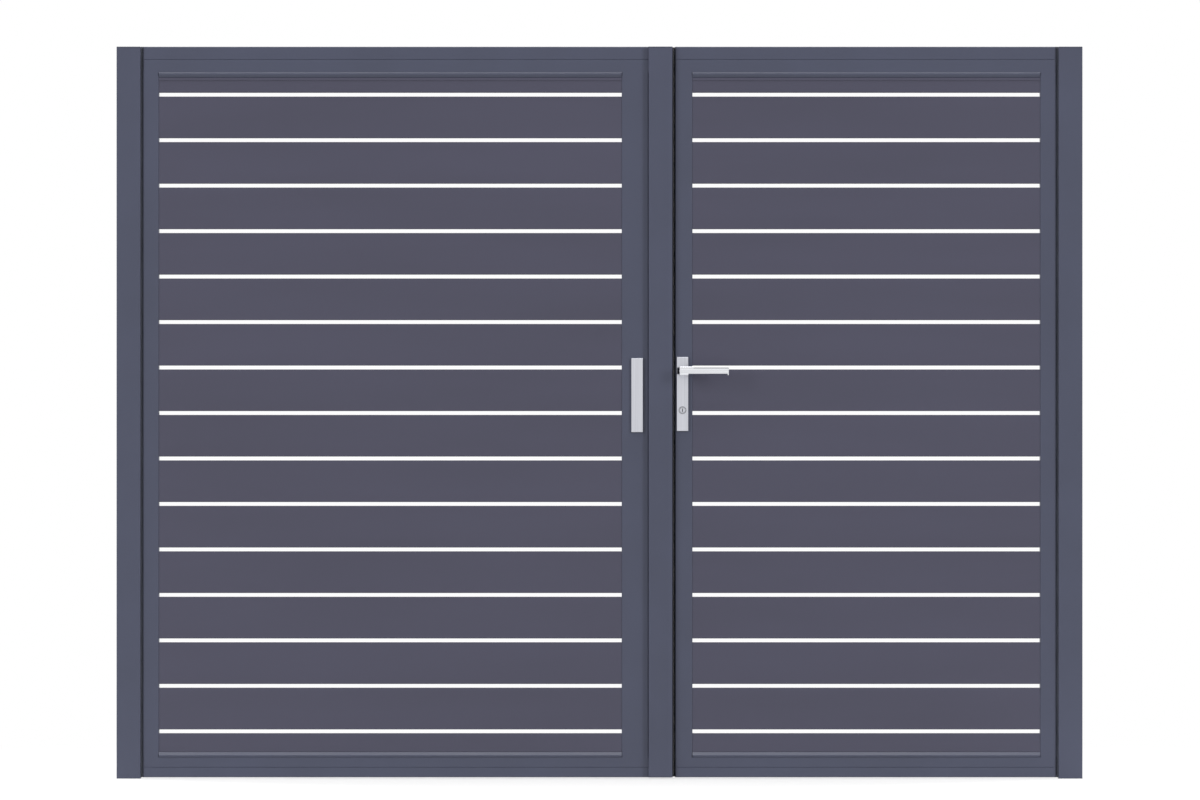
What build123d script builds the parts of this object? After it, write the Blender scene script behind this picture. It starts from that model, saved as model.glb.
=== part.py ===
from build123d import *
import os

# Double garden gate: a wide and a narrow slatted leaf hung between square posts, sizes in millimetres
# +X runs to the right along the gate, +Y to the back, +Z up, from the middle of the left post's foot

# Posts
post_width = 60.0
post_depth = 60.0
post_height = 1830.0
post_wall = 3.0
foot_thickness = 6.0
cap_thickness = 4.0
cap_chamfer = 1.0
edge_radius = 2.0

# Leaf frames
hinge_gap = 5.5
meeting_gap = 7.0
leaf_depth = 50.0
leaf_base = 3.0
profile_wall = 2.5
top_rail_height = 64.0
bottom_rail_height = 49.5
rail_groove_depth = 1.0
rail_cap_thickness = 3.0
hinge_stile_width = 40.0
meeting_stile_width = 67.0
lock_stile_width = 43.0
wide_infill_width = 1157.5
narrow_infill_width = 869.5

# Slats
slat_thickness = 20.0
slat_wall = 2.0
slat_recess = 2.0
slat_gap = 9.5
slat_gap_count = 15
bottom_slat_height = 47.0
top_slat_height = 37.5
slat_edge_radius = 1.5
bead_projection = 2.5
bead_face_height = 3.5
bead_slope_height = 7.5
bead_wall = 2.0
channel_height = 6.5
channel_wall = 2.0

# Stop strip on the wide leaf
strip_width = 60.0
strip_projection = 14.0
strip_cap_thickness = 3.0

# Rubber seals
seal_slit = 0.1
seal_thickness = 4.0
post_seal_depth = 5.0
seal_lip_thickness = 1.0
seal_lip_reach = 6.0

# Hinges on the back
knuckle_radius = 9.0
knuckle_length = 40.0
knuckle_gap = 1.0
knuckle_chamfer = 1.0
pin_radius = 5.0
pin_running_clearance = 0.05
pin_end_length = 3.0
axis_offset = 11.0
hinge_plate_thickness = 5.0
hinge_plate_height = 110.0
hinge_plate_corner = 5.0
hinge_plate_inset = 8.0
hinge_plate_clearance = 12.0
strap_inset = 3.0
hinge_end_distance = 260.0

# Lock and lever set
plate_width = 29.0
plate_height = 185.0
plate_thickness = 6.0
plate_edge_radius = 1.0
plate_rise = 34.7
lock_plate_offset = 18.0
lever_height = 1019.3
lever_stem_radius = 8.0
lever_running_clearance = 0.05
lever_finger_gap = 40.0
lever_bar_depth = 10.0
lever_end_gap = 0.5
lever_length = 115.5
lever_heel = 7.6
lever_hub_length = 35.5
lever_hub_height = 22.0
lever_bar_height = 19.0
lever_corner_radius = 1.5
lever_edge_radius = 1.2
lever_bevel_height = 4.0
lever_bevel_angle = 22.0
lever_bevel_start = 22.0
lever_bevel_end = 3.0
lever_top_bevel_height = 1.5
lever_top_bevel_depth = 3.0
lever_neck_gap = 5.0
lever_neck_width = 27.0
lever_neck_height = 20.0
lever_neck_corner = 4.0
spindle_width = 8.0
stile_hole_radius = 10.0
cylinder_drop = 98.3
cylinder_radius = 8.2
cylinder_projection = 4.0
cylinder_recess_width = 1.2
cylinder_recess_depth = 3.0
plug_radius = 6.4
plug_groove_width = 0.7
plug_groove_depth = 1.0
keyway_width = 2.2
keyway_height = 8.5
keyway_depth = 6.0
forend_width = 20.0
forend_margin = 60.0
lock_bolt_width = 12.0
lock_bolt_height = 32.0
lock_bolt_length = 8.0
lock_bolt_sink = 1.0
blank_plate_drop = 3.0
blank_plate_offset = 28.5

# Drop bolt on the back of the wide leaf
bolt_radius = 6.0
bolt_clearance = 17.0
bolt_length = 640.0
bolt_offset = 14.0
bolt_end_chamfer = 2.0
bolt_guide_count = 3
bolt_guide_width = 24.0
bolt_guide_height = 30.0
bolt_guide_depth = 24.0
bolt_guide_corner = 5.0
bolt_guide_margin = 40.0
bolt_flange_width = 56.0
bolt_flange_thickness = 5.0
bolt_knob_radius = 7.0
bolt_knob_length = 32.0

# Places along the gate
post_inner_x = post_width / 2
wide_left_x = post_inner_x + hinge_gap
wide_infill_left_x = wide_left_x + hinge_stile_width
wide_infill_right_x = wide_infill_left_x + wide_infill_width
meeting_stile_right_x = wide_infill_right_x + meeting_stile_width
strip_right_x = meeting_stile_right_x + strip_width
narrow_left_x = strip_right_x + meeting_gap
narrow_infill_left_x = narrow_left_x + lock_stile_width
narrow_infill_right_x = narrow_infill_left_x + narrow_infill_width
narrow_right_x = narrow_infill_right_x + hinge_stile_width
right_post_left_x = narrow_right_x + hinge_gap
right_post_x = right_post_left_x + post_width / 2

# Places through the depth and up the height
post_front_y = -post_depth / 2
post_back_y = post_depth / 2
leaf_back_y = post_back_y
leaf_front_y = leaf_back_y - leaf_depth
leaf_middle_y = (leaf_front_y + leaf_back_y) / 2
slat_front_y = leaf_front_y + slat_recess
slat_back_y = slat_front_y + slat_thickness
strip_front_y = leaf_front_y - strip_projection
rail_top_z = leaf_base + bottom_rail_height
rail_under_z = post_height - top_rail_height
bead_height = bead_projection + bead_face_height + bead_slope_height
infill_base_z = rail_top_z + bead_height
infill_top_z = rail_under_z - bead_height
axis_y = leaf_back_y + axis_offset
lower_hinge_height = hinge_end_distance
upper_hinge_height = post_height - hinge_end_distance
lock_plate_base = lever_height + plate_rise - plate_height
cylinder_height = lever_height - cylinder_drop


# Shapes shared by several pieces
def block(x_low, x_high, y_low, y_high, z_low, z_high):
    middle = Pos((x_low + x_high) / 2, (y_low + y_high) / 2, (z_low + z_high) / 2)
    return middle * Box(x_high - x_low, y_high - y_low, z_high - z_low)


def rounded(shape, axis, radius):
    return fillet(shape.edges().filter_by(axis), radius)


def upright_tube(x_low, x_high, y_low, y_high, z_low, z_high, wall):
    outer = rounded(block(x_low, x_high, y_low, y_high, z_low, z_high), Axis.Z, edge_radius)
    return outer - block(x_low + wall, x_high - wall, y_low + wall, y_high - wall, z_low, z_high)


def rod_along_y(x, z, radius, y_low, y_high):
    return Pos(x, (y_low + y_high) / 2, z) * Rot(90, 0, 0) * Cylinder(radius, y_high - y_low)


def rod_upright(x, y, radius, z_low, z_high):
    return Pos(x, y, (z_low + z_high) / 2) * Cylinder(radius, z_high - z_low)


def eased(rod, axis, end, size):
    return chamfer(rod.faces().sort_by(axis)[end].edges(), size)


def bar_along_x(points, x_low, x_high):
    outline = Polyline(*[(x_low, y, z) for y, z in points], close=True)
    return extrude(make_face(outline), x_high - x_low, dir=(1, 0, 0))


def bar_upright(points, z_low, z_high):
    outline = Polyline(*[(x, y, z_low) for x, y in points], close=True)
    return extrude(make_face(outline), z_high - z_low, dir=(0, 0, 1))


def mirrored_across_gate(shape):
    middle = Plane((right_post_x / 2, 0, 0), z_dir=(1, 0, 0))
    return mirror(shape, about=middle)


def mirrored_through_leaf(shape):
    return mirror(shape, about=Plane((0, leaf_middle_y, 0), z_dir=(0, 1, 0)))


os.makedirs("parts", exist_ok=True)


def write(name, *solids):
    shape = solids[0] if len(solids) == 1 else Compound(children=list(solids))
    export_step(shape, "parts/" + name + ".step")


# Posts: square tubes with a closed foot and a flat cap
post_tube_top_z = post_height - cap_thickness
post_outer = block(-post_inner_x, post_inner_x, post_front_y, post_back_y, 0, post_tube_top_z)
post_cavity = block(
    -post_inner_x + post_wall,
    post_inner_x - post_wall,
    post_front_y + post_wall,
    post_back_y - post_wall,
    foot_thickness,
    post_tube_top_z,
)
left_post = rounded(post_outer, Axis.Z, edge_radius) - post_cavity
left_cap = rounded(
    block(-post_inner_x, post_inner_x, post_front_y, post_back_y, post_tube_top_z, post_height),
    Axis.Z,
    edge_radius,
)
left_cap = chamfer(left_cap.faces().sort_by(Axis.Z)[-1].edges(), cap_chamfer)
write("left_post", left_post)
write("right_post", mirrored_across_gate(left_post))
write("post_caps", left_cap, mirrored_across_gate(left_cap))

# Post seals: a rubber strip on each post that closes the hinge gap
post_seal_y = leaf_front_y + post_seal_depth
left_post_seal = block(
    post_inner_x,
    wide_left_x - seal_slit,
    post_seal_y,
    post_seal_y + seal_thickness,
    leaf_base,
    post_height,
)
write("post_seals", left_post_seal, mirrored_across_gate(left_post_seal))

# Hinges: a gudgeon with its upright pin on the post, and a strap with a knuckle on the leaf
axis_x = post_inner_x + hinge_gap / 2
plate_back_y = post_back_y + hinge_plate_thickness


def gudgeon(height):
    knuckle_top_z = height - knuckle_gap / 2
    knuckle_low_z = knuckle_top_z - knuckle_length
    plate = block(
        -post_inner_x + hinge_plate_inset,
        post_inner_x - hinge_plate_clearance,
        post_back_y,
        plate_back_y,
        height - hinge_plate_height / 2,
        height + hinge_plate_height / 2,
    )
    plate = rounded(plate, Axis.Y, hinge_plate_corner)
    web = block(0, axis_x, post_back_y, plate_back_y, knuckle_low_z, knuckle_top_z)
    knuckle = rod_upright(axis_x, axis_y, knuckle_radius, knuckle_low_z, knuckle_top_z)
    knuckle = eased(knuckle, Axis.Z, 0, knuckle_chamfer)
    pin_top_z = height + knuckle_gap / 2 + knuckle_length + pin_end_length
    pin = rod_upright(axis_x, axis_y, pin_radius, knuckle_low_z, pin_top_z)
    pin = eased(pin, Axis.Z, -1, knuckle_chamfer)
    return plate + web + knuckle + pin


def strap(height):
    knuckle_low_z = height + knuckle_gap / 2
    knuckle_top_z = knuckle_low_z + knuckle_length
    plate = block(
        wide_left_x + hinge_plate_clearance,
        wide_infill_left_x - strap_inset,
        leaf_back_y,
        plate_back_y,
        height - hinge_plate_height / 2,
        height + hinge_plate_height / 2,
    )
    plate = rounded(plate, Axis.Y, hinge_plate_corner)
    web_end_x = (wide_left_x + wide_infill_left_x) / 2
    web = block(axis_x, web_end_x, leaf_back_y, plate_back_y, knuckle_low_z, knuckle_top_z)
    knuckle = rod_upright(axis_x, axis_y, knuckle_radius, knuckle_low_z, knuckle_top_z)
    knuckle = eased(knuckle, Axis.Z, -1, knuckle_chamfer)
    bore = rod_upright(axis_x, axis_y, pin_radius + pin_running_clearance, knuckle_low_z, knuckle_top_z)
    return plate + web + knuckle - bore


left_gudgeons = [gudgeon(lower_hinge_height), gudgeon(upper_hinge_height)]
left_straps = [strap(lower_hinge_height), strap(upper_hinge_height)]
write("left_hinge_gudgeons", *left_gudgeons)
write("right_hinge_gudgeons", *[mirrored_across_gate(piece) for piece in left_gudgeons])
write("wide_hinge_straps", *left_straps)
write("narrow_hinge_straps", *[mirrored_across_gate(piece) for piece in left_straps])


# Leaf rails: tubes across the whole leaf with a fine groove along the middle of each face
def rail(x_low, x_high, z_low, z_high, outer_edges):
    outer = block(x_low, x_high, leaf_front_y, leaf_back_y, z_low, z_high)
    outer = fillet(outer.edges().filter_by(Axis.X).group_by(Axis.Z)[outer_edges], edge_radius)
    cavity = block(
        x_low,
        x_high,
        leaf_front_y + profile_wall,
        leaf_back_y - profile_wall,
        z_low + profile_wall,
        z_high - profile_wall,
    )
    z_middle = (z_low + z_high) / 2
    grooves = [
        bar_along_x(
            [
                (y, z_middle - rail_groove_depth),
                (y + rail_groove_depth, z_middle),
                (y, z_middle + rail_groove_depth),
                (y - rail_groove_depth, z_middle),
            ],
            x_low,
            x_high,
        )
        for y in (leaf_front_y, leaf_back_y)
    ]
    return outer - cavity - grooves[0] - grooves[1]


def rail_cap(x_low, z_low, z_high, outer_end, outer_edges):
    cap = block(x_low, x_low + rail_cap_thickness, leaf_front_y, leaf_back_y, z_low, z_high)
    corners = cap.edges().filter_by(Axis.Z).group_by(Axis.X)[outer_end]
    long_edges = cap.edges().filter_by(Axis.X).group_by(Axis.Z)[outer_edges]
    return fillet(corners + long_edges, edge_radius)


bottom_rail_span = (leaf_base, rail_top_z, 0)
top_rail_span = (rail_under_z, post_height, -1)
wide_rail_left_x = wide_left_x + rail_cap_thickness
narrow_rail_left_x = narrow_left_x + rail_cap_thickness
narrow_rail_right_x = narrow_right_x - rail_cap_thickness
write("wide_bottom_rail", rail(wide_rail_left_x, meeting_stile_right_x, *bottom_rail_span))
write("wide_top_rail", rail(wide_rail_left_x, meeting_stile_right_x, *top_rail_span))
write("narrow_bottom_rail", rail(narrow_rail_left_x, narrow_rail_right_x, *bottom_rail_span))
write("narrow_top_rail", rail(narrow_rail_left_x, narrow_rail_right_x, *top_rail_span))


def rail_caps(x_low, outer_end):
    return [
        rail_cap(x_low, low, high, outer_end, outer_edges)
        for low, high, outer_edges in (bottom_rail_span, top_rail_span)
    ]


write("wide_rail_caps", *rail_caps(wide_left_x, 0))
write("narrow_rail_caps", *rail_caps(narrow_left_x, 0), *rail_caps(narrow_rail_right_x, -1))


# Leaf stiles: upright tubes between the rails
def stile(x_low, x_high):
    return upright_tube(x_low, x_high, leaf_front_y, leaf_back_y, rail_top_z, rail_under_z, profile_wall)


lever_x = narrow_left_x + lock_plate_offset


def edge_plate(x_low):
    return block(
        x_low,
        x_low + profile_wall,
        leaf_middle_y - forend_width / 2,
        leaf_middle_y + forend_width / 2,
        cylinder_height - forend_margin,
        lever_height + forend_margin,
    )


def lock_bolt(x_low, x_high, height):
    return block(
        x_low,
        x_high,
        leaf_middle_y - lock_bolt_width / 2,
        leaf_middle_y + lock_bolt_width / 2,
        height - lock_bolt_height / 2,
        height + lock_bolt_height / 2,
    )


forend = edge_plate(narrow_left_x)
strike = edge_plate(strip_right_x - profile_wall)
lock_bolt_heights = (lever_height, cylinder_height)
lock_bolts = [
    lock_bolt(narrow_left_x + lock_bolt_sink, narrow_left_x + lock_bolt_length, height)
    for height in lock_bolt_heights
]
forend_holes = [lock_bolt(narrow_left_x, narrow_left_x + profile_wall, height) for height in lock_bolt_heights]
strike_holes = [lock_bolt(strip_right_x - profile_wall, strip_right_x, height) for height in lock_bolt_heights]
spindle_hole = rod_along_y(lever_x, lever_height, stile_hole_radius, leaf_front_y, leaf_back_y)
cylinder_hole = rod_along_y(lever_x, cylinder_height, stile_hole_radius, leaf_front_y, leaf_back_y)
lock_stile = stile(narrow_left_x, narrow_infill_left_x) - spindle_hole - cylinder_hole - forend
write("wide_hinge_stile", stile(wide_left_x, wide_infill_left_x))
write("wide_meeting_stile", stile(wide_infill_right_x, meeting_stile_right_x))
write("narrow_lock_stile", lock_stile)
write("narrow_hinge_stile", stile(narrow_infill_right_x, narrow_right_x))
write("lock_forend", forend - forend_holes[0] - forend_holes[1])
write("lock_bolts", *lock_bolts)

# Stop strip: a deeper tube along the closing edge of the wide leaf, with the strike plate let into it
strip_low_z = leaf_base + strip_cap_thickness
strip_high_z = post_height - strip_cap_thickness
strip = upright_tube(
    meeting_stile_right_x,
    strip_right_x,
    strip_front_y,
    leaf_back_y,
    strip_low_z,
    strip_high_z,
    profile_wall,
)
strip_caps = [
    rounded(
        block(meeting_stile_right_x, strip_right_x, strip_front_y, leaf_back_y, z, z + strip_cap_thickness),
        Axis.Z,
        edge_radius,
    )
    for z in (leaf_base, strip_high_z)
]
write("stop_strip", strip - strike)
write("strip_caps", *strip_caps)
write("strike_plate", strike - strike_holes[0] - strike_holes[1])

# Meeting seals: a rubber lip on each closing edge, slanting to the back, the two tip to tip
seal_root_y = leaf_back_y - edge_radius
lip_tip_y = leaf_back_y + seal_lip_reach


def seal_lip(root_x, tip_x):
    outline = [
        (root_x, seal_root_y - seal_thickness),
        (root_x, seal_root_y),
        (tip_x, lip_tip_y),
        (tip_x, lip_tip_y - seal_lip_thickness),
    ]
    return bar_upright(outline, leaf_base, post_height)


seal_width = (meeting_gap - seal_slit) / 2
write("strip_seal", seal_lip(strip_right_x, strip_right_x + seal_width))
write("lock_stile_seal", seal_lip(narrow_left_x, narrow_left_x - seal_width))


# Infill: hollow slats between the stiles, with a sloped bead on each rail and a channel over the top slat
def slat(x_low, x_high, z_low, z_high):
    outer = rounded(block(x_low, x_high, slat_front_y, slat_back_y, z_low, z_high), Axis.X, slat_edge_radius)
    cavity = block(
        x_low,
        x_high,
        slat_front_y + slat_wall,
        slat_back_y - slat_wall,
        z_low + slat_wall,
        z_high - slat_wall,
    )
    return outer - cavity


channel_base_z = infill_top_z - channel_height
lowest_gap_z = infill_base_z + bottom_slat_height + slat_gap / 2
highest_gap_z = infill_top_z - top_slat_height - slat_gap / 2
slat_pitch = (highest_gap_z - lowest_gap_z) / (slat_gap_count - 1)
gap_heights = [lowest_gap_z + slat_pitch * step for step in range(slat_gap_count)]
slat_lows = [infill_base_z] + [height + slat_gap / 2 for height in gap_heights]
slat_highs = [height - slat_gap / 2 for height in gap_heights] + [infill_top_z - channel_wall]


def slats(x_low, x_high):
    return [slat(x_low, x_high, low, high) for low, high in zip(slat_lows, slat_highs)]


def bead(x_low, x_high, rail_z, way):
    front = leaf_front_y - bead_projection
    back = leaf_back_y + bead_projection
    slope_run = slat_front_y - front
    face_low = rail_z + way * bead_projection
    face_high = face_low + way * bead_face_height
    infill_z = face_high + way * bead_slope_height
    outline = [
        (leaf_front_y, rail_z),
        (front, face_low),
        (front, face_high),
        (slat_front_y, infill_z),
        (back - slope_run, infill_z),
        (back, face_high),
        (back, face_low),
        (leaf_back_y, rail_z),
    ]
    hollow_z = infill_z - way * bead_wall
    hollow = [
        (slat_front_y + bead_wall, rail_z),
        (slat_front_y + bead_wall, hollow_z),
        (back - slope_run - bead_wall, hollow_z),
        (back - slope_run - bead_wall, rail_z),
    ]
    return bar_along_x(outline, x_low, x_high) - bar_along_x(hollow, x_low, x_high)


def beads(x_low, x_high):
    return [bead(x_low, x_high, rail_top_z, 1), bead(x_low, x_high, rail_under_z, -1)]


def top_channel(x_low, x_high):
    outer = block(
        x_low,
        x_high,
        slat_front_y - channel_wall,
        slat_back_y + channel_wall,
        channel_base_z,
        infill_top_z,
    )
    return outer - block(x_low, x_high, slat_front_y, slat_back_y, channel_base_z, infill_top_z - channel_wall)


write("wide_slats", *slats(wide_infill_left_x, wide_infill_right_x))
write("narrow_slats", *slats(narrow_infill_left_x, narrow_infill_right_x))
write("wide_infill_beads", *beads(wide_infill_left_x, wide_infill_right_x))
write("narrow_infill_beads", *beads(narrow_infill_left_x, narrow_infill_right_x))
write("wide_top_channel", top_channel(wide_infill_left_x, wide_infill_right_x))
write("narrow_top_channel", top_channel(narrow_infill_left_x, narrow_infill_right_x))


# Lock plates on the narrow leaf and blank plates on the wide leaf, alike on front and back
def cover_plate(x, z_low):
    plate = block(
        x - plate_width / 2,
        x + plate_width / 2,
        leaf_front_y - plate_thickness,
        leaf_front_y,
        z_low,
        z_low + plate_height,
    )
    return fillet(plate.faces().sort_by(Axis.Y)[0].edges(), plate_edge_radius)


plate_front_y = leaf_front_y - plate_thickness
plate_back_face_y = leaf_back_y + plate_thickness
lever_bore = rod_along_y(
    lever_x,
    lever_height,
    lever_stem_radius + lever_running_clearance,
    plate_front_y,
    leaf_front_y,
)
cylinder_bore = rod_along_y(lever_x, cylinder_height, cylinder_radius, plate_front_y, leaf_front_y)
cylinder_bore += rod_along_y(
    lever_x,
    cylinder_height,
    cylinder_radius + cylinder_recess_width,
    plate_front_y,
    plate_front_y + cylinder_recess_depth,
)
front_lock_plate = cover_plate(lever_x, lock_plate_base) - lever_bore - cylinder_bore
front_blank_plate = cover_plate(meeting_stile_right_x - blank_plate_offset, lock_plate_base - blank_plate_drop)
write("front_lock_plate", front_lock_plate)
write("back_lock_plate", mirrored_through_leaf(front_lock_plate))
write("front_blank_plate", front_blank_plate)
write("back_blank_plate", mirrored_through_leaf(front_blank_plate))

# Lock cylinder: right through the lock, with a round plug and its keyway at each end
cylinder_front_y = plate_front_y - cylinder_projection
cylinder_back_y = plate_back_face_y + cylinder_projection
cylinder = rod_along_y(lever_x, cylinder_height, cylinder_radius, cylinder_front_y, cylinder_back_y)
groove_floor_y = cylinder_front_y + plug_groove_depth
plug_groove = rod_along_y(
    lever_x, cylinder_height, plug_radius + plug_groove_width, cylinder_front_y, groove_floor_y
)
plug_groove -= rod_along_y(lever_x, cylinder_height, plug_radius, cylinder_front_y, groove_floor_y)
keyway = block(
    lever_x - keyway_width / 2,
    lever_x + keyway_width / 2,
    cylinder_front_y,
    cylinder_front_y + keyway_depth,
    cylinder_height - keyway_height / 2,
    cylinder_height + keyway_height / 2,
)
for cut in (plug_groove, keyway):
    cylinder = cylinder - cut - mirrored_through_leaf(cut)
write("lock_cylinder", cylinder)

# Levers: a flat bar with a taller hub and a bevelled grip, one on each face of the leaf
# A neck that flares towards the plate carries the bar on a round stem
bar_back_y = plate_front_y - lever_finger_gap
bar_front_y = bar_back_y - lever_bar_depth
hub_low_z = lever_height - lever_hub_height / 2
hub_high_z = lever_height + lever_hub_height / 2
bar_high_z = hub_low_z + lever_bar_height
heel_x = lever_x - lever_heel
hub_end_x = heel_x + lever_hub_length
tip_x = lever_x + lever_length
lever_outline = Polyline(
    (heel_x, bar_front_y, hub_low_z),
    (tip_x, bar_front_y, hub_low_z),
    (tip_x, bar_front_y, bar_high_z),
    (hub_end_x, bar_front_y, bar_high_z),
    (hub_end_x, bar_front_y, hub_high_z),
    (heel_x, bar_front_y, hub_high_z),
    close=True,
)
lever_bar = extrude(make_face(lever_outline), lever_bar_depth, dir=(0, 1, 0))
near = lever_corner_radius
lever_corners = lever_bar.edges().filter_by(Axis.Y)
lever_ends = lever_corners.filter_by_position(Axis.X, heel_x - near, heel_x + near)
lever_ends += lever_corners.filter_by_position(Axis.X, tip_x - near, tip_x + near)
lever_bar = fillet(lever_ends, lever_corner_radius)
lever_bar = fillet(lever_bar.faces().sort_by(Axis.Y)[0].edges(), lever_edge_radius)
bevel_left_x = heel_x + lever_bevel_start
bevel_right_x = tip_x - lever_bevel_end
bevel_face = Polyline(
    (bevel_left_x, bar_front_y, hub_low_z - lever_hub_height),
    (bevel_right_x, bar_front_y, hub_low_z - lever_hub_height),
    (bevel_right_x, bar_front_y, hub_low_z + lever_bevel_height),
    (bevel_left_x, bar_front_y, hub_low_z + lever_bevel_height),
    close=True,
)
lever_bar -= extrude(make_face(bevel_face), lever_bar_depth, dir=(0, 1, 0), taper=lever_bevel_angle)
lever_bar -= bar_along_x(
    [
        (bar_front_y, bar_high_z - lever_top_bevel_height),
        (bar_front_y + lever_top_bevel_depth, bar_high_z),
        (bar_front_y, bar_high_z),
    ],
    hub_end_x,
    tip_x,
)


def neck_section(y, width):
    upright = Plane((lever_x, y, lever_height), x_dir=(1, 0, 0), z_dir=(0, -1, 0))
    return upright * RectangleRounded(width, lever_neck_height, lever_neck_corner)


neck_end_y = plate_front_y - lever_neck_gap
lever_neck = loft([neck_section(neck_end_y, lever_neck_width), neck_section(bar_back_y, lever_heel * 2)])
stem_end_y = leaf_front_y - lever_end_gap
lever_stem = rod_along_y(lever_x, lever_height, lever_stem_radius, bar_back_y, stem_end_y)
front_lever = lever_bar + lever_neck + lever_stem
write("front_lever", front_lever)
write("back_lever", mirrored_through_leaf(front_lever))
write(
    "lever_spindle",
    block(
        lever_x - spindle_width / 2,
        lever_x + spindle_width / 2,
        stem_end_y,
        leaf_back_y + lever_end_gap,
        lever_height - spindle_width / 2,
        lever_height + spindle_width / 2,
    ),
)

# Drop bolt: an upright rod with a knob, drawn up in flanged guides on the back of the meeting stile
bolt_x = (wide_infill_right_x + meeting_stile_right_x) / 2
bolt_y = leaf_back_y + bolt_offset
bolt_base_z = leaf_base + bolt_clearance
bolt_top_z = bolt_base_z + bolt_length
bolt_rod = rod_upright(bolt_x, bolt_y, bolt_radius, bolt_base_z, bolt_top_z)
bolt_rod = chamfer(bolt_rod.edges().filter_by(GeomType.CIRCLE), bolt_end_chamfer)
bolt_knob_z = bolt_top_z - bolt_knob_radius
bolt_knob = rod_along_y(bolt_x, bolt_knob_z, bolt_knob_radius, bolt_y, bolt_y + bolt_knob_length)
bolt_knob = eased(bolt_knob, Axis.Y, -1, bolt_end_chamfer)
guide_span = bolt_length - bolt_guide_margin * 2
guide_step = guide_span / (bolt_guide_count - 1)
guide_heights = [bolt_base_z + bolt_guide_margin + guide_step * place for place in range(bolt_guide_count)]


def bolt_guide(height):
    low = height - bolt_guide_height / 2
    high = height + bolt_guide_height / 2
    flange = block(
        bolt_x - bolt_flange_width / 2,
        bolt_x + bolt_flange_width / 2,
        leaf_back_y,
        leaf_back_y + bolt_flange_thickness,
        low,
        high,
    )
    housing = block(
        bolt_x - bolt_guide_width / 2,
        bolt_x + bolt_guide_width / 2,
        leaf_back_y,
        leaf_back_y + bolt_guide_depth,
        low,
        high,
    )
    housing = fillet(housing.edges().filter_by(Axis.Z).group_by(Axis.Y)[-1], bolt_guide_corner)
    return rounded(flange, Axis.Y, bolt_guide_corner) + housing - bolt_rod


write("drop_bolt", bolt_rod + bolt_knob)
write("drop_bolt_guides", *[bolt_guide(height) for height in guide_heights])
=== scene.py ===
import math
import bpy
import numpy as np
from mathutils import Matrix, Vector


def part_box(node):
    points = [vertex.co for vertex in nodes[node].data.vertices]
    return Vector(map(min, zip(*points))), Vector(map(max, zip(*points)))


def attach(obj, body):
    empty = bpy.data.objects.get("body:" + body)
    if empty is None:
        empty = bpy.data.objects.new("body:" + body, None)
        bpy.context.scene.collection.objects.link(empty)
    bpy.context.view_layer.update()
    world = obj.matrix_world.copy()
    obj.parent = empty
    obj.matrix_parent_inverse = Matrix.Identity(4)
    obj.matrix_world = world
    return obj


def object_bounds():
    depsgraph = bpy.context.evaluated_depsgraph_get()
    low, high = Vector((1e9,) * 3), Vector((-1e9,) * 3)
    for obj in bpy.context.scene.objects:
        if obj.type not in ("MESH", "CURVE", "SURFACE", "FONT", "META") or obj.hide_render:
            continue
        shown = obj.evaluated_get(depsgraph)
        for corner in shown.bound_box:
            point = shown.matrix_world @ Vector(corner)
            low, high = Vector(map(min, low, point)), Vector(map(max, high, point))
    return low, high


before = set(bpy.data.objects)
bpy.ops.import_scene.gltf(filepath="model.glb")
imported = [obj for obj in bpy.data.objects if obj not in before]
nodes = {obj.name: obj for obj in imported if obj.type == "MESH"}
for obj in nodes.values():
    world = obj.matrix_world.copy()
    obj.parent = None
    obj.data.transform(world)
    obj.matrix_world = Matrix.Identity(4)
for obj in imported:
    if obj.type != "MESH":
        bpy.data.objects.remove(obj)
cad_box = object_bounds()

# Posts: two square tubes of extruded aluminium with a closed foot, set on the ground.
# They are powder coated in one anthracite coat, which dries satin and very slightly pebbled.
anthracite = (0.058, 0.064, 0.099)
coat_drift = 0.18
coat_drift_detail = 3.0
coat_change = 0.05
coat_sheen = (0.32, 0.40)
coat_gloss = 0.4
pebble_size = 0.0012
pebble_depth = 0.00002
noise_low = 0.3
noise_high = 0.7
noise_detail = 2.0
no_stretch = (1.0, 1.0, 1.0)


def new_material(name):
    """An empty material and its node tree, with the surface shader ready to take values."""
    material = bpy.data.materials.new(name)
    material.use_nodes = True
    return material, material.node_tree, material.node_tree.nodes["Principled BSDF"]


def noise(tree, across, detail=noise_detail, stretch=no_stretch):
    """Noise in the piece's own coordinates: about one blotch every across metres, drawn out by stretch."""
    place = tree.nodes.new("ShaderNodeTexCoord")
    mapping = tree.nodes.new("ShaderNodeMapping")
    mapping.inputs["Scale"].default_value = tuple(1.0 / (across * share) for share in stretch)
    texture = tree.nodes.new("ShaderNodeTexNoise")
    texture.inputs["Scale"].default_value = 1.0
    texture.inputs["Detail"].default_value = detail
    tree.links.new(place.outputs["Object"], mapping.inputs["Vector"])
    tree.links.new(mapping.outputs["Vector"], texture.inputs["Vector"])
    return texture.outputs["Fac"]


def spread(tree, value, low, high):
    """Maps the middle of a noise, from noise_low to noise_high, on to low to high."""
    mapped = tree.nodes.new("ShaderNodeMapRange")
    mapped.inputs["From Min"].default_value = noise_low
    mapped.inputs["From Max"].default_value = noise_high
    mapped.inputs["To Min"].default_value = low
    mapped.inputs["To Max"].default_value = high
    tree.links.new(value, mapped.inputs["Value"])
    return mapped.outputs["Result"]


def two_tone(tree, value, colour, change):
    """A colour that runs from darker to lighter by a share, as a noise rises through its middle."""
    ramp = tree.nodes.new("ShaderNodeValToRGB")
    ramp.color_ramp.elements[0].position = noise_low
    ramp.color_ramp.elements[0].color = (*[part * (1.0 - change) for part in colour], 1.0)
    ramp.color_ramp.elements[1].position = noise_high
    ramp.color_ramp.elements[1].color = (*[part * (1.0 + change) for part in colour], 1.0)
    tree.links.new(value, ramp.inputs["Fac"])
    return ramp.outputs["Color"]


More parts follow.
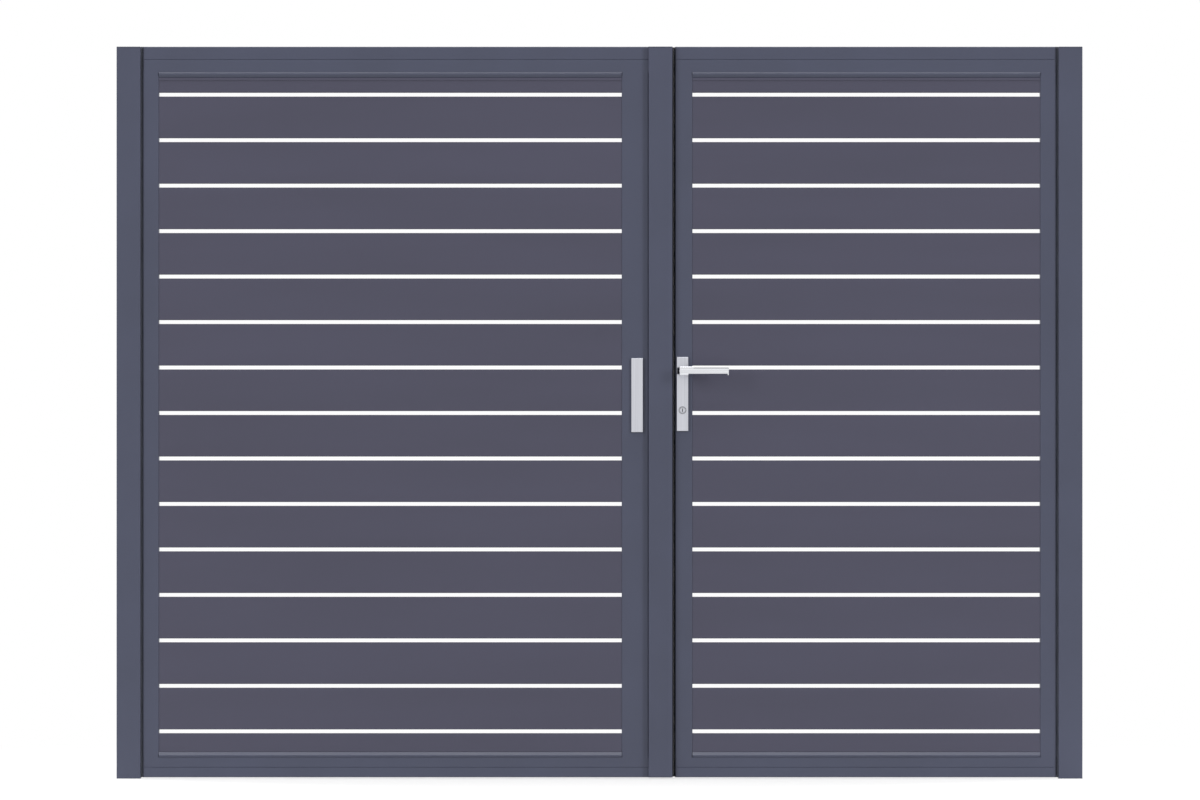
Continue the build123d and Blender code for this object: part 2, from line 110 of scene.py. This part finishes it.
def relief(tree, surface, value, depth):
    """Raises and sinks the surface by a noise, depth metres from its lowest to its highest."""
    bump = tree.nodes.new("ShaderNodeBump")
    bump.inputs["Distance"].default_value = depth
    tree.links.new(value, bump.inputs["Height"])
    tree.links.new(bump.outputs["Normal"], surface.inputs["Normal"])


def powder_coat(name, colour):
    """Satin powder coat: pebbles about a millimetre across, and a sheen and tone that drift along."""
    material, tree, surface = new_material(name)
    drift = noise(tree, coat_drift, coat_drift_detail)
    tree.links.new(two_tone(tree, drift, colour, coat_change), surface.inputs["Base Color"])
    tree.links.new(spread(tree, drift, *coat_sheen), surface.inputs["Roughness"])
    surface.inputs["Specular IOR Level"].default_value = coat_gloss
    relief(tree, surface, noise(tree, pebble_size), pebble_depth)
    return material


def dress(material, *names):
    """Gives CAD nodes a finish in place of their packed one."""
    for name in names:
        mesh = nodes[name].data
        mesh.materials.clear()
        mesh.materials.append(material)


frame_coat = powder_coat("anthracite_powder_coat", anthracite)
dress(frame_coat, "left_post", "right_post")

# Post and tube caps: thin caps moulded in dark plastic, which close the open tube ends.
# The mould leaves them duller than the coat, with a fine spark texture.
cap_grey = (0.058, 0.062, 0.090)
cap_drift = 0.02
cap_change = 0.06
cap_roughness = 0.6
cap_gloss = 0.3
spark_size = 0.0006
spark_depth = 0.00005


def moulded_plastic(name, colour):
    """Dull moulded plastic: a fine even grain with a slight drift in tone."""
    material, tree, surface = new_material(name)
    drift = noise(tree, cap_drift)
    tree.links.new(two_tone(tree, drift, colour, cap_change), surface.inputs["Base Color"])
    surface.inputs["Roughness"].default_value = cap_roughness
    surface.inputs["Specular IOR Level"].default_value = cap_gloss
    relief(tree, surface, noise(tree, spark_size), spark_depth)
    return material


cap_plastic = moulded_plastic("cap_plastic", cap_grey)
dress(cap_plastic, "post_caps", "strip_caps", "wide_rail_caps", "narrow_rail_caps")

# Leaf frames: rails right across each leaf with the stiles cut square between them, all aluminium tube.
# The stop strip is a deeper tube along the closing edge of the wide leaf.
# They carry the same coat as the posts.
dress(
    frame_coat,
    "wide_hinge_stile",
    "wide_meeting_stile",
    "wide_top_rail",
    "wide_bottom_rail",
    "narrow_lock_stile",
    "narrow_hinge_stile",
    "narrow_top_rail",
    "narrow_bottom_rail",
    "stop_strip",
)

# Infill: hollow aluminium slats between the stiles, with a gap over each and a channel over the top one.
# Their coat is a touch warmer than the frame's, and the drawn metal under it shows as faint lines.
# The beads that hold them along the rails are coated with the frame.
slat_grey = (0.058, 0.057, 0.087)
slat_drift = 0.25
slat_drift_stretch = (3.0, 1.0, 0.5)
slat_sheen = (0.36, 0.44)
draw_line_size = 0.0015
draw_line_depth = 0.00003
along_the_slat = (40.0, 1.0, 1.0)


def slat_coat(name, colour):
    """Satin coat over drawn metal: long faint lines along the slat, and a tone that drifts along it."""
    material, tree, surface = new_material(name)
    drift = noise(tree, slat_drift, coat_drift_detail, slat_drift_stretch)
    tree.links.new(two_tone(tree, drift, colour, coat_change), surface.inputs["Base Color"])
    tree.links.new(spread(tree, drift, *slat_sheen), surface.inputs["Roughness"])
    surface.inputs["Specular IOR Level"].default_value = coat_gloss
    relief(tree, surface, noise(tree, draw_line_size, stretch=along_the_slat), draw_line_depth)
    return material


slat_finish = slat_coat("slat_powder_coat", slat_grey)
dress(slat_finish, "wide_slats", "narrow_slats", "wide_top_channel", "narrow_top_channel")
dress(frame_coat, "wide_infill_beads", "narrow_infill_beads")

# Seals: extruded strips of dark rubber that close the hinge gaps and the meeting gap.
# They are fixed along the sides of the tubes, and the two lips of the meeting gap stand tip to tip.
rubber_black = (0.125, 0.134, 0.165)
rubber_roughness = 0.8
rubber_gloss = 0.25
streak_size = 0.002
streak_change = 0.25
streak_depth = 0.00005
up_the_seal = (1.0, 1.0, 30.0)


def rubber(name, colour):
    """Extruded rubber: matt, with drawn-out streaks up the strip."""
    material, tree, surface = new_material(name)
    streaks = noise(tree, streak_size, stretch=up_the_seal)
    tree.links.new(two_tone(tree, streaks, colour, streak_change), surface.inputs["Base Color"])
    surface.inputs["Roughness"].default_value = rubber_roughness
    surface.inputs["Specular IOR Level"].default_value = rubber_gloss
    relief(tree, surface, streaks, streak_depth)
    return material


dress(rubber("black_rubber", rubber_black), "post_seals", "strip_seal", "lock_stile_seal")

# Hinges: welded steel gudgeons with upright pins on the posts, and straps with a knuckle on the leaves.
# They are coated with the frame, and each plate is fixed with zinc-plated button-head screws.
zinc_grey = (0.27, 0.28, 0.30)
zinc_sheen = (0.28, 0.42)
blotch_size = 0.004
blotch_detail = 4.0
blotch_change = 0.12
grain_size = 0.0005
grain_depth = 0.00001
screw_radius = 0.005
screw_height = 0.0028
screw_sides = 24
screw_crease = math.radians(40.0)
hinge_plate_half = 0.055
hinge_screw_spacing = 0.039
gudgeon_screw_inset = 0.011
strap_screw_inset = 0.0085
hinge_plate_thickness = 0.005
to_the_back = (0.0, 1.0, 0.0)


def zinc_plate(name, colour):
    """Zinc-plated steel: bright but blotched by its passivation, with a fine grain."""
    material, tree, surface = new_material(name)
    blotches = noise(tree, blotch_size, blotch_detail)
    tree.links.new(two_tone(tree, blotches, colour, blotch_change), surface.inputs["Base Color"])
    tree.links.new(spread(tree, blotches, *zinc_sheen), surface.inputs["Roughness"])
    surface.inputs["Metallic"].default_value = 1.0
    relief(tree, surface, noise(tree, grain_size), grain_depth)
    return material


def button_screws(name, body, places, facing, height=screw_height):
    """Button heads with a hexagon socket, turned about their axis: each ring of the profile is a radius
    and a height, and a ring inside the socket follows a hexagon, whose radius is cos 30 over the cosine
    of the angle from the middle of its side. Each head is closed underneath and at its socket's floor."""
    share_of_radius = np.array([1.0, 1.0, 0.93, 0.78, 0.56, 0.50, 0.50])
    share_of_height = np.array([0.0, 0.30, 0.62, 0.88, 1.00, 1.00, 0.40])
    in_socket = np.array([0.0, 0.0, 0.0, 0.0, 0.0, 1.0, 1.0])
    angle = np.linspace(0.0, 2.0 * math.pi, screw_sides, endpoint=False)
    half_side = math.pi / 6
    hexagon = math.cos(half_side) / np.cos((angle + half_side) % (2 * half_side) - half_side)
    radius = screw_radius * share_of_radius[:, None] * (1.0 + in_socket[:, None] * (hexagon - 1.0))
    facing = np.array(facing)
    up = np.array([0.0, 0.0, 1.0])
    round_about = np.cos(angle)[:, None] * up + np.sin(angle)[:, None] * np.cross(facing, up)
    head = radius[..., None] * round_about + height * share_of_height[:, None, None] * facing
    points = np.array(places)[:, None, None, :] + head
    index = np.arange(points[..., 0].size).reshape(points.shape[:3])
    onward = np.roll(index, -1, axis=2)
    walls = np.stack([index[:, :-1], onward[:, :-1], onward[:, 1:], index[:, 1:]], axis=-1)
    ends = np.concatenate([index[:, 0, ::-1], index[:, -1]])
    mesh = bpy.data.meshes.new(name)
    mesh.from_pydata(points.reshape(-1, 3), [], walls.reshape(-1, 4).tolist() + ends.tolist())
    mesh.shade_smooth()
    mesh.set_sharp_from_angle(angle=screw_crease)
    mesh.materials.append(screw_zinc)
    screws = bpy.data.objects.new(name, mesh)
    bpy.context.scene.collection.objects.link(screws)
    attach(screws, body)


def hinge_screws(node, body, inset, from_right):
    """Two screws on each of the node's two plates, beside the knuckle."""
    low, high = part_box(node)
    x = high.x - inset if from_right else low.x + inset
    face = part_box("left_post")[1].y + hinge_plate_thickness
    middles = (low.z + hinge_plate_half, high.z - hinge_plate_half)
    places = [(x, face, z + way * hinge_screw_spacing) for z in middles for way in (-1, 1)]
    button_screws(node + "_screws", body, places, to_the_back)


screw_zinc = zinc_plate("zinc_plate", zinc_grey)
dress(frame_coat, "left_hinge_gudgeons", "right_hinge_gudgeons", "wide_hinge_straps", "narrow_hinge_straps")
hinge_screws("left_hinge_gudgeons", "posts", gudgeon_screw_inset, False)
hinge_screws("right_hinge_gudgeons", "posts", gudgeon_screw_inset, True)
hinge_screws("wide_hinge_straps", "wide_leaf", strap_screw_inset, True)
hinge_screws("narrow_hinge_straps", "narrow_leaf", strap_screw_inset, False)

# Lock and blank plates: cover plates of brushed stainless steel, alike on front and back.
# The brushing runs up the plate, and the screws that clamp a pair show on the back only.
stainless = (0.60, 0.61, 0.66)
plate_sheen = (0.30, 0.42)
hair_size = 0.0008
hair_detail = 3.0
hair_change = 0.10
hair_depth = 0.00001
up_the_plate = (1.0, 1.0, 250.0)
# Painted shade: the dark colour laid on the steel where the gap round the cylinder, the plug's joint and the
# keyway would lie in shadow.
painted_shade = (0.10, 0.10, 0.11, 1.0)
plate_screw_margin = 0.012
cylinder_low, cylinder_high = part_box("lock_cylinder")
cylinder_middle = (cylinder_low + cylinder_high) / 2
cylinder_radius = (cylinder_high.x - cylinder_low.x) / 2
recess_width = 0.0012


def brushed_steel(name, colour, along, sheen=plate_sheen):
    """Brushed stainless steel: hair lines drawn out along the brushing, which vary the tone and the sheen."""
    material, tree, surface = new_material(name)
    hairs = noise(tree, hair_size, hair_detail, along)
    tree.links.new(two_tone(tree, hairs, colour, hair_change), surface.inputs["Base Color"])
    tree.links.new(spread(tree, hairs, *sheen), surface.inputs["Roughness"])
    surface.inputs["Metallic"].default_value = 1.0
    relief(tree, surface, hairs, hair_depth)
    return material


def within(tree, value, middle, reach):
    """1 where a value lies within reach of middle, and 0 elsewhere."""
    compare = tree.nodes.new("ShaderNodeMath")
    compare.operation = "COMPARE"
    tree.links.new(value, compare.inputs[0])
    compare.inputs[1].default_value = middle
    compare.inputs[2].default_value = reach
    return compare.outputs["Value"]


def from_cylinder_axis(tree):
    """How far a point lies from the axis of the lock cylinder, with its y set to 0, and its own x and z."""
    place = tree.nodes.new("ShaderNodeTexCoord")
    flat = tree.nodes.new("ShaderNodeVectorMath")
    flat.operation = "MULTIPLY"
    flat.inputs[1].default_value = (1.0, 0.0, 1.0)
    away = tree.nodes.new("ShaderNodeVectorMath")
    away.operation = "DISTANCE"
    away.inputs[1].default_value = (cylinder_middle.x, 0.0, cylinder_middle.z)
    parts = tree.nodes.new("ShaderNodeSeparateXYZ")
    tree.links.new(place.outputs["Object"], flat.inputs[0])
    tree.links.new(flat.outputs["Vector"], away.inputs[0])
    tree.links.new(place.outputs["Object"], parts.inputs["Vector"])
    return away.outputs["Value"], parts.outputs["X"], parts.outputs["Z"]


def paint_shade(material, share):
    """Lays painted shade over the material where the share is 1: a dark colour that stands for the shadow in
    a hollow.
    """
    tree = material.node_tree
    colour = tree.nodes["Principled BSDF"].inputs["Base Color"]
    clean = colour.links[0].from_socket
    mix = tree.nodes.new("ShaderNodeMix")
    mix.data_type = "RGBA"
    mix.inputs["B"].default_value = painted_shade
    tree.links.new(share, mix.inputs["Factor"])
    tree.links.new(clean, mix.inputs["A"])
    tree.links.new(mix.outputs["Result"], colour)


def plate_screws(node, body):
    """A screw near each end of a cover plate, on its back face."""
    low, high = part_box(node)
    heights = (low.z + plate_screw_margin, high.z - plate_screw_margin)
    places = [((low.x + high.x) / 2, high.y, z) for z in heights]
    button_screws(node + "_screws", body, places, to_the_back)


blank_plate_steel = brushed_steel("blank_plate_steel", stainless, up_the_plate)
dress(blank_plate_steel, "front_blank_plate", "back_blank_plate")
lock_plate_steel = brushed_steel("lock_plate_steel", stainless, up_the_plate)
lock_plate_tree = lock_plate_steel.node_tree
recess_from_axis = from_cylinder_axis(lock_plate_tree)[0]
# Painted shade: a dark ring on the lock plates round the cylinder stands for the shadow in the gap there.
paint_shade(lock_plate_steel, within(lock_plate_tree, recess_from_axis, cylinder_radius, recess_width))
dress(lock_plate_steel, "front_lock_plate", "back_lock_plate")
plate_screws("back_lock_plate", "narrow_leaf")
plate_screws("back_blank_plate", "wide_leaf")

# Lock cylinder: a stainless cylinder through the lock, a little proud of both plates.
# A slot and a ring of painted shade on its faces stand for the shadow in its keyway and in the joint around
# its plug.
groove_middle = 0.00675
groove_half = 0.0004
keyway_half_width = 0.0011
keyway_half_height = 0.0043
cylinder_steel = brushed_steel("cylinder_steel", stainless, no_stretch)
cylinder_tree = cylinder_steel.node_tree
from_axis, cylinder_x, cylinder_z = from_cylinder_axis(cylinder_tree)
keyway_across = within(cylinder_tree, cylinder_x, cylinder_middle.x, keyway_half_width)
keyway_up = within(cylinder_tree, cylinder_z, cylinder_middle.z, keyway_half_height)
keyway = cylinder_tree.nodes.new("ShaderNodeMath")
keyway.operation = "MULTIPLY"
cylinder_tree.links.new(keyway_across, keyway.inputs[0])
cylinder_tree.links.new(keyway_up, keyway.inputs[1])
groove = within(cylinder_tree, from_axis, groove_middle, groove_half)
sunk = cylinder_tree.nodes.new("ShaderNodeMath")
sunk.operation = "MAXIMUM"
cylinder_tree.links.new(groove, sunk.inputs[0])
cylinder_tree.links.new(keyway.outputs["Value"], sunk.inputs[1])
# Painted shade over the keyway and the ring of the plug's joint.
paint_shade(cylinder_steel, sunk.outputs["Value"])
dress(cylinder_steel, "lock_cylinder")

# Levers: flat stainless bars on round stems, one on each face, on a square spindle right through the lock.
# They are polished more than the plates, with the brushing along the bar.
lever_bright = (0.77, 0.78, 0.81)
lever_sheen = (0.14, 0.22)
along_the_lever = (250.0, 250.0, 1.0)
lever_steel = brushed_steel("lever_steel", lever_bright, along_the_lever, lever_sheen)
dress(lever_steel, "front_lever", "back_lever", "lever_spindle")

# Forend, lock bolts and strike: plain stainless pieces let into the two closing edges.
# The forend and the strike are each held by two screws with low heads.
edge_screw_margin = 0.012
edge_screw_height = 0.0006
edge_steel = brushed_steel("edge_steel", stainless, up_the_plate)
dress(edge_steel, "lock_forend", "strike_plate", "lock_bolts")
for node, body, way in (("lock_forend", "narrow_leaf", -1.0), ("strike_plate", "wide_leaf", 1.0)):
    edge_low, edge_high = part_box(node)
    edge_x = edge_high.x if way > 0 else edge_low.x
    edge_heights = (edge_low.z + edge_screw_margin, edge_high.z - edge_screw_margin)
    edge_places = [(edge_x, (edge_low.y + edge_high.y) / 2, z) for z in edge_heights]
    button_screws(node + "_screws", body, edge_places, (way, 0.0, 0.0), edge_screw_height)

# Drop bolt: a zinc-plated rod with a turned knob, drawn up in coated guides on the back of the wide leaf.
# Each guide is cast in one with its flange, which takes a screw on either side of the rod.
guide_count = 3
guide_half = 0.015
guide_flange_thickness = 0.005
guide_screw_inset = 0.008
dress(screw_zinc, "drop_bolt")
dress(frame_coat, "drop_bolt_guides")
guide_low, guide_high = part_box("drop_bolt_guides")
guide_heights = np.linspace(guide_low.z + guide_half, guide_high.z - guide_half, guide_count)
guide_sides = (guide_low.x + guide_screw_inset, guide_high.x - guide_screw_inset)
guide_face = guide_low.y + guide_flange_thickness
guide_places = [(x, guide_face, z) for z in guide_heights for x in guide_sides]
button_screws("drop_bolt_guide_screws", "wide_leaf", guide_places, to_the_back)

# Floor: a pale sheet under the gate that takes its shadow and fades to white away from it.
# It throws less light back up than it shows, so that undersides stay darker than tops.
# Close to the foot of the gate it throws more, which makes up for the gate's own shadow there.
gate_low, gate_high = (np.array(corner) for corner in cad_box)
middle = (gate_low + gate_high) / 2
floor_reach = 6.0
fade_start = 0.4
fade_end = 3.0
white_share = 0.5
floor_white = (0.88, 0.88, 0.88, 1.0)
floor_bounce = 0.38
foot_bounce = 0.8
foot_reach = 0.8


def eye_ray(tree):
    """1 for a ray from the camera or from a reflection, which then see plain white, and 0 for light."""
    path = tree.nodes.new("ShaderNodeLightPath")
    seen = path.outputs["Is Camera Ray"]
    for kind in ("Is Glossy Ray", "Is Transmission Ray"):
        either = tree.nodes.new("ShaderNodeMath")
        either.operation = "MAXIMUM"
        tree.links.new(seen, either.inputs[0])
        tree.links.new(path.outputs[kind], either.inputs[1])
        seen = either.outputs["Value"]
    return seen


def either_shader(tree, share, first, second):
    """The first shader where the share is 0 and the second where it is 1."""
    mix = tree.nodes.new("ShaderNodeMixShader")
    tree.links.new(share, mix.inputs["Fac"])
    tree.links.new(first, mix.inputs[1])
    tree.links.new(second, mix.inputs[2])
    return mix.outputs["Shader"]


def floor_material(name):
    """White to the eye and grey to light: plainer white the farther it lies from the middle of the gate,
    and a paler grey the nearer it lies to the gate's own plane."""
    material = bpy.data.materials.new(name)
    material.use_nodes = True
    tree = material.node_tree
    tree.nodes.clear()
    shown = tree.nodes.new("ShaderNodeBsdfDiffuse")
    shown.inputs["Color"].default_value = floor_white
    bounced = tree.nodes.new("ShaderNodeBsdfDiffuse")
    glow = tree.nodes.new("ShaderNodeEmission")
    place = tree.nodes.new("ShaderNodeTexCoord")
    from_gate = tree.nodes.new("ShaderNodeVectorMath")
    from_gate.operation = "DISTANCE"
    from_gate.inputs[1].default_value = (middle[0], middle[1], 0.0)
    fade = tree.nodes.new("ShaderNodeMapRange")
    fade.inputs["From Min"].default_value = fade_start
    fade.inputs["From Max"].default_value = fade_end
    fade.inputs["To Min"].default_value = white_share
    place_parts = tree.nodes.new("ShaderNodeSeparateXYZ")
    from_foot = tree.nodes.new("ShaderNodeMath")
    from_foot.operation = "ABSOLUTE"
    thrown = tree.nodes.new("ShaderNodeMapRange")
    thrown.inputs["From Max"].default_value = foot_reach
    thrown.inputs["To Min"].default_value = foot_bounce
    thrown.inputs["To Max"].default_value = floor_bounce
    out = tree.nodes.new("ShaderNodeOutputMaterial")
    tree.links.new(place.outputs["Object"], place_parts.inputs["Vector"])
    tree.links.new(place_parts.outputs["Y"], from_foot.inputs[0])
    tree.links.new(from_foot.outputs["Value"], thrown.inputs["Value"])
    tree.links.new(thrown.outputs["Result"], bounced.inputs["Color"])
    tree.links.new(place.outputs["Object"], from_gate.inputs[0])
    tree.links.new(from_gate.outputs["Value"], fade.inputs["Value"])
    to_eye = either_shader(tree, fade.outputs["Result"], shown.outputs["BSDF"], glow.outputs["Emission"])
    surface = either_shader(tree, eye_ray(tree), bounced.outputs["BSDF"], to_eye)
    tree.links.new(surface, out.inputs["Surface"])
    return material


across, deep = np.meshgrid([-floor_reach, floor_reach], [-floor_reach, floor_reach], indexing="ij")
corners = np.stack([middle[0] + across, middle[1] + deep, np.zeros((2, 2))], axis=-1).reshape(-1, 3)
floor_mesh = bpy.data.meshes.new("floor")
floor_mesh.from_pydata(corners, [], [(0, 2, 3, 1)])
floor_mesh.materials.append(floor_material("floor_white"))
floor = bpy.data.objects.new("floor", floor_mesh)
bpy.context.scene.collection.objects.link(floor)

# Light: a white room that is brighter overhead, with a tall soft lamp off each corner of the gate.
# The lamps stand to the side, so that what stands proud of a leaf shades it.
# The coat and the steel mirror the white room alone, because a lamp in them would burn out the tops.
room_white = (1.0, 1.0, 1.0, 1.0)
straight_down = -1.0
straight_up = 1.0
zenith_light = 0.25
nadir_light = 0.03
lamp_power = 585.0
lamp_width = 2.4
lamp_tall = 6.0
lamp_height = 4.5
lamp_distance = 10.0
lamp_bearing = math.radians(49.0)
sun_strength = 1.24
sun_tilt = math.radians(17.5)
sun_angle = math.radians(40.0)
world = bpy.data.worlds.new("white_room")
bpy.context.scene.world = world
world.use_nodes = True
sky = world.node_tree
sky.nodes.clear()
way_out = sky.nodes.new("ShaderNodeTexCoord")
way_parts = sky.nodes.new("ShaderNodeSeparateXYZ")
up_share = sky.nodes.new("ShaderNodeMapRange")
up_share.inputs["From Min"].default_value = straight_down
up_share.inputs["From Max"].default_value = straight_up
up_share.inputs["To Min"].default_value = nadir_light
up_share.inputs["To Max"].default_value = zenith_light
room = sky.nodes.new("ShaderNodeBackground")
room.inputs["Color"].default_value = room_white
white = sky.nodes.new("ShaderNodeBackground")
white.inputs["Color"].default_value = room_white
sky_out = sky.nodes.new("ShaderNodeOutputWorld")
sky.links.new(way_out.outputs["Generated"], way_parts.inputs["Vector"])
sky.links.new(way_parts.outputs["Z"], up_share.inputs["Value"])
sky.links.new(up_share.outputs["Result"], room.inputs["Strength"])
seen_sky = either_shader(sky, eye_ray(sky), room.outputs["Background"], white.outputs["Background"])
sky.links.new(seen_sky, sky_out.inputs["Surface"])
for corner, bearing in (
    ("front_right", lamp_bearing),
    ("front_left", -lamp_bearing),
    ("back_right", math.pi - lamp_bearing),
    ("back_left", math.pi + lamp_bearing),
):
    lamp_data = bpy.data.lights.new(corner + "_lamp", "AREA")
    lamp_data.shape = "RECTANGLE"
    lamp_data.size = lamp_width
    lamp_data.size_y = lamp_tall
    lamp_data.energy = lamp_power
    lamp = bpy.data.objects.new(corner + "_lamp", lamp_data)
    away = np.array([math.sin(bearing), -math.cos(bearing), 0.0]) * lamp_distance
    lamp.location = (middle[0] + away[0], middle[1] + away[1], lamp_height)
    lamp.rotation_euler = (math.pi / 2, 0.0, bearing)
    lamp.visible_glossy = False
    bpy.context.scene.collection.objects.link(lamp)
for side, tilt in (("front", sun_tilt), ("back", -sun_tilt)):
    sun_data = bpy.data.lights.new(side + "_overhead", "SUN")
    sun_data.energy = sun_strength
    sun_data.angle = sun_angle
    sun = bpy.data.objects.new(side + "_overhead", sun_data)
    sun.rotation_euler = (tilt, 0.0, 0.0)
    bpy.context.scene.collection.objects.link(sun)

# Camera: level with the middle of the picture and far off, so that the front shows square on.
# The picture's width and middle are given in metres, in the plane of the leaves' front.
picture_width = 3.001
picture_middle = (1.1787, 0.9465)
camera_distance = 30.0
camera_sight = 100.0
sensor_width = 36.0
camera_data = bpy.data.cameras.new("camera")
camera_data.sensor_width = sensor_width
camera_data.lens = sensor_width * camera_distance / picture_width
camera_data.clip_end = camera_sight
camera = bpy.data.objects.new("camera", camera_data)
front_of_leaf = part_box("wide_top_rail")[0].y
camera.location = (picture_middle[0], front_of_leaf - camera_distance, picture_middle[1])
camera.rotation_euler = (math.pi / 2, 0.0, 0.0)
bpy.context.scene.collection.objects.link(camera)
bpy.context.scene.camera = camera
bpy.context.scene.view_settings.view_transform = "Standard"
